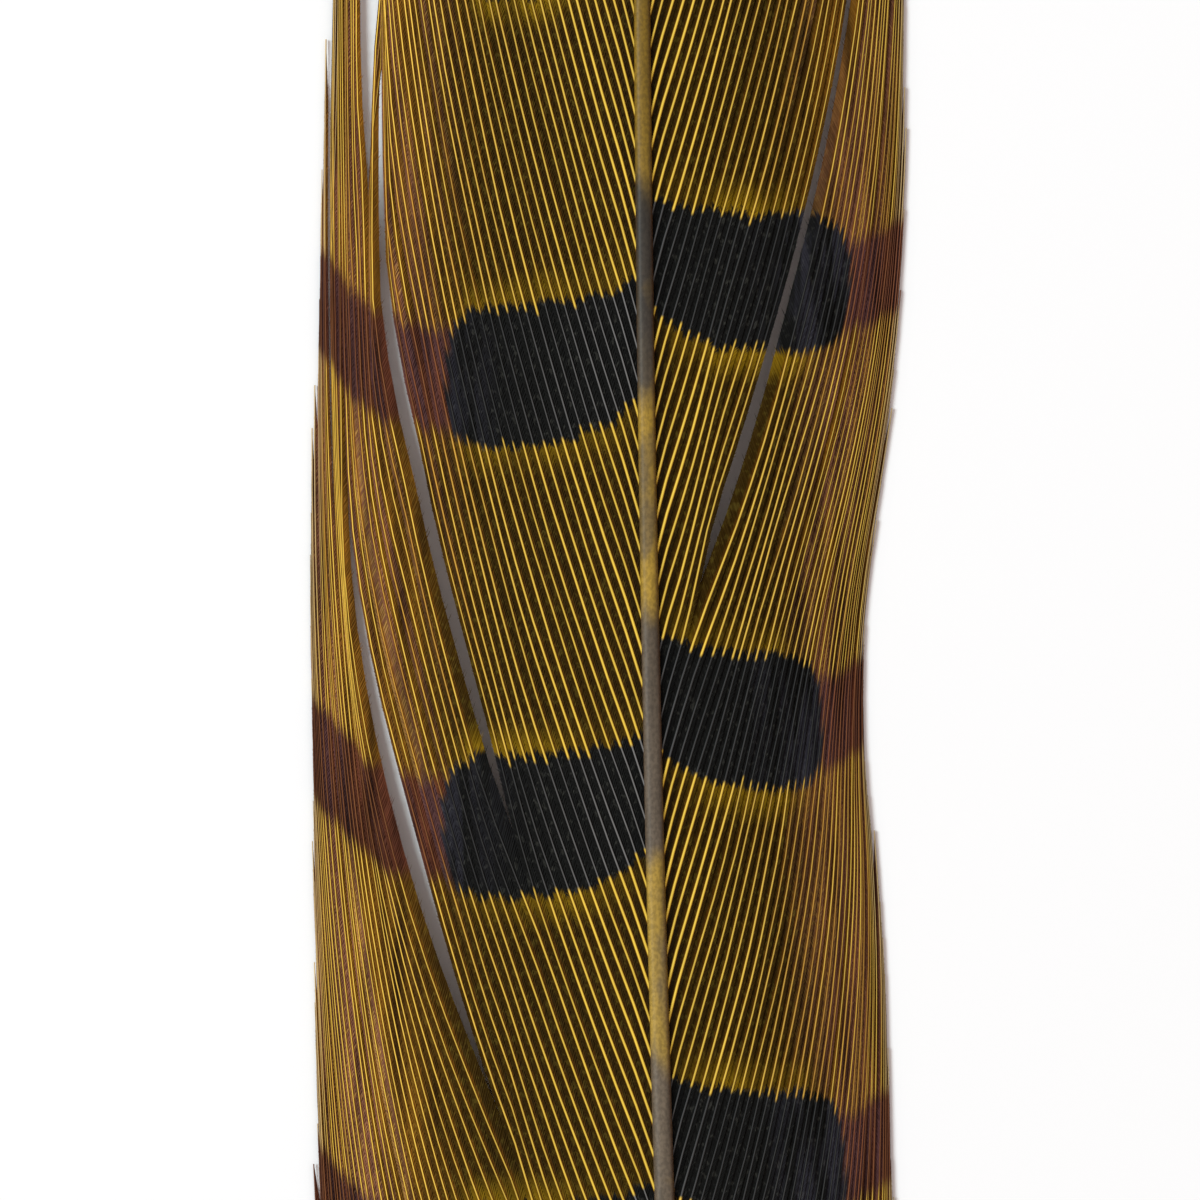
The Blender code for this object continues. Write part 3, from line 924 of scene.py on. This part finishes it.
def barbule_material(side, side_name):
    """Dark olive barbules, browner outwards, glowing beside the black bars, and darkened beside the
    shaft by painted shade.
    """
    paint = Paint(f"barbules_{side_name}", 0.7, 0.06)
    along, aside, out = paint.fact("along"), paint.fact("aside"), paint.fact("out")
    barb, reach, spark = paint.fact("barb"), paint.fact("reach"), paint.fact("spark")
    ragged = (barb - 0.5) * BORDER_RAGGED + (spark - 0.5) * 0.0003
    distance = bar_distance(side, along + ragged, aside)
    patches = paint.noise(110, (1, 0.3, 1))
    specks = paint.noise(4200, (1, 0.6, 1), 2.0)
    base = paint.mix(specks.step(0.52, 0.66) * 0.6, OLIVE, OLIVE_LIGHT)
    outer = paint.mix((patches * 0.6 + barb * 0.4).step(0.42, 0.56), BROWN, MAUVE)
    outer = paint.mix((spark * 0.4 + barb).step(0.95, 1.3) * 0.8, outer, TAN)
    base = paint.mix(out.step(0.50, 0.85), base, outer)
    beside = (abs(distance) - BAR_HALF[side]).step(0.0026, 0.0003) * out.step(BAR_END[side], 0.45)
    beside = beside * (0.25 + out.step(0.08, 0.35) * 0.75)
    glowing = paint.noise(300, (1, 0.5, 1), 2.0).step(0.40, 0.60)
    base = paint.mix(beside * (0.25 + glowing * 0.75), base, GLOW)
    base = paint.mix(reach.step(0.30, 0.0) * 0.7, base, RUST_ROOT)
    brown = paint.mix((patches + barb * 0.5).step(0.60, 0.80), CHESTNUT, PURPLE)
    streaks = paint.noise(1300, (1, 0.10, 1), 2.0)
    streaky = 1 + (streaks - 0.5) * out.step(0.4, 0.75) * 3.2
    base = paler_outwards(paint, side, base, out)
    colour = paint.mix(chestnut_share(side, distance, out, 0.0006) * 0.95, base, brown)
    black = paint.mix(specks.step(0.56, 0.70) * 0.7, BLACK, BLACK_SPECK)
    black = paint.mix(out.step(0.35, 0.65) * streaks.step(0.42, 0.60) * 0.5, black, SLATE)
    colour = paint.mix(black_share(side, distance, aside, out, 0), colour, black)
    # Painted shade: the barbules next to the rachis are darkened, as if in its shadow.
    shade = 1 - aside.step(0.0017, 0.0006) * SHADE_BY_SHAFT[side]
    return paint.finish(paint.scaled(colour, (0.70 + spark * 0.35 + specks * 0.45) * streaky * shade))


def rachis_material():
    """Horn-coloured, gold between the bars and grey beside them, paler towards the quill. Painted
    shade darkens both edges, the right one more, and the whole right side.
    """
    paint = Paint("rachis_horn", 0.5, 0.25)
    along, aside = paint.fact("along"), paint.fact("aside")
    place = along / LENGTH
    left = bar_distance(LEFT, along, along * 0)
    right = bar_distance(RIGHT, along, along * 0)
    blotches = paint.noise(420, (1, 0.35, 1))
    blur = (blotches - 0.5) * 0.006 + aside * 0.0004
    near_left = (abs(left) + blur).step(0.0046, 0.0024)
    near_right = (abs(right) + blur).step(0.0046, 0.0024)
    barred = near_left.math("MAXIMUM", near_right) * place.step(0.10, 0.22)
    gold = paint.ramp(place, [(0.0, srgb(206, 188, 152)), (0.12, srgb(188, 164, 112)),
                              (0.44, srgb(176, 146, 70)), (0.52, srgb(172, 138, 50)),
                              (0.58, srgb(136, 106, 26)), (1.0, srgb(84, 62, 24))])
    grey = paint.ramp(place, [(0.0, srgb(176, 162, 140)), (0.44, srgb(106, 95, 84)),
                              (0.50, srgb(98, 88, 80)), (0.56, srgb(46, 43, 40)),
                              (1.0, srgb(36, 32, 28))])
    mottled = paint.mix(blotches.step(0.52, 0.66) * 0.6, gold, grey)
    colour = paint.mix(barred * 0.92, mottled, grey)
    # Painted shade: both edges of the rachis darkened, the right one more.
    colour = paint.mix(abs(aside + 0.15).step(0.55, 1.05) * 0.55, colour, SHADED_GOLD_EDGE)
    streaks = paint.noise(2600, (1, 0.08, 1), 2.0)
    specks = paint.noise(6000, (1, 0.7, 1), 2.0).step(0.36, 0.64) - 0.5
    speckled = 1 + specks * (0.10 + place.step(0.15, 0.40) * 0.22)
    # Painted shade: the right side, away from the light on the left, is darker.
    shade = 1 - aside.step(-0.2, 1.0) * 0.35
    return paint.finish(paint.scaled(colour, (0.41 + streaks * 0.65) * speckled * shade))


def down_material():
    """Soft grey fluff."""
    paint = Paint("down_fluff", 0.85)
    reach, spark = paint.fact("reach"), paint.fact("spark")
    colour = paint.mix(reach.step(0.0, 1.0), srgb(150, 138, 124), srgb(120, 108, 96))
    return paint.finish(paint.scaled(colour, 0.8 + spark * 0.4))


def plain_material(name, colour, roughness):
    """A material of one colour."""
    return Paint(name, roughness).finish(colour)


# ---------------------------------------------------------------- stage, light and camera


def build_floor():
    """White paper under the feather."""
    mesh = bpy.data.meshes.new("floor")
    corners = [(x * FLOOR_HALF, y * FLOOR_HALF, 0) for x, y in ((-1, -1), (1, -1), (1, 1), (-1, 1))]
    mesh.from_pydata(corners, [], [(0, 1, 2, 3)])
    mesh.materials.append(plain_material("paper", (0.88, 0.88, 0.88, 1), 0.9))
    floor = bpy.data.objects.new("floor", mesh)
    bpy.context.scene.collection.objects.link(floor)


def build_light(name, place, target, size, power, colour):
    """A round soft light that faces its target."""
    light = bpy.data.lights.new(name, "AREA")
    light.color = colour
    light.shape = "DISK"
    light.size = size
    light.energy = power
    made = bpy.data.objects.new(name, light)
    made.location = place
    made.rotation_euler = (Vector(target) - Vector(place)).to_track_quat("-Z", "Y").to_euler()
    bpy.context.scene.collection.objects.link(made)


def build_lights():
    """Faintly warm light from all round, and one large cool light from the left."""
    world = bpy.data.worlds.new("studio")
    world.use_nodes = True
    background = world.node_tree.nodes["Background"]
    background.inputs["Color"].default_value = (1.0, 0.86, 0.82, 1)
    background.inputs["Strength"].default_value = 0.62
    bpy.context.scene.world = world
    build_light("window", (-1.1, 0.35, 1.3), (0, 0, 0), 0.9, 26.5, (0.83, 0.96, 1.0))


def build_camera():
    """Looks straight down on the middle of the vane, turned so that the shaft leans as it should."""
    camera = bpy.data.cameras.new("camera")
    camera.lens = LENS
    camera.sensor_width = SENSOR
    camera.clip_start = 0.01
    camera.clip_end = 20
    camera.dof.use_dof = False
    made = bpy.data.objects.new("camera", camera)
    distance = VIEW_WIDTH * LENS / SENSOR
    middle = np.array([VIEW_ASIDE + float(bow(VIEW_MIDDLE)), VIEW_MIDDLE, 0.0018]) + QUILL_END
    made.location = (middle[0], middle[1], middle[2] + distance)
    made.rotation_euler = (0, 0, VIEW_ROLL)
    bpy.context.scene.collection.objects.link(made)
    bpy.context.scene.camera = made
    bpy.context.scene.view_settings.view_transform = "Standard"


def main():
    build_shaft()
    build_vane(LEFT, "left", LEFT_SPLITS, ["base", "sliver", "tip"])
    build_vane(RIGHT, "right", RIGHT_SPLITS, ["base", "tip"])
    fluff = down_material()
    build_down(LEFT, "left", fluff)
    build_down(RIGHT, "right", fluff)
    build_floor()
    build_lights()
    build_camera()


main()
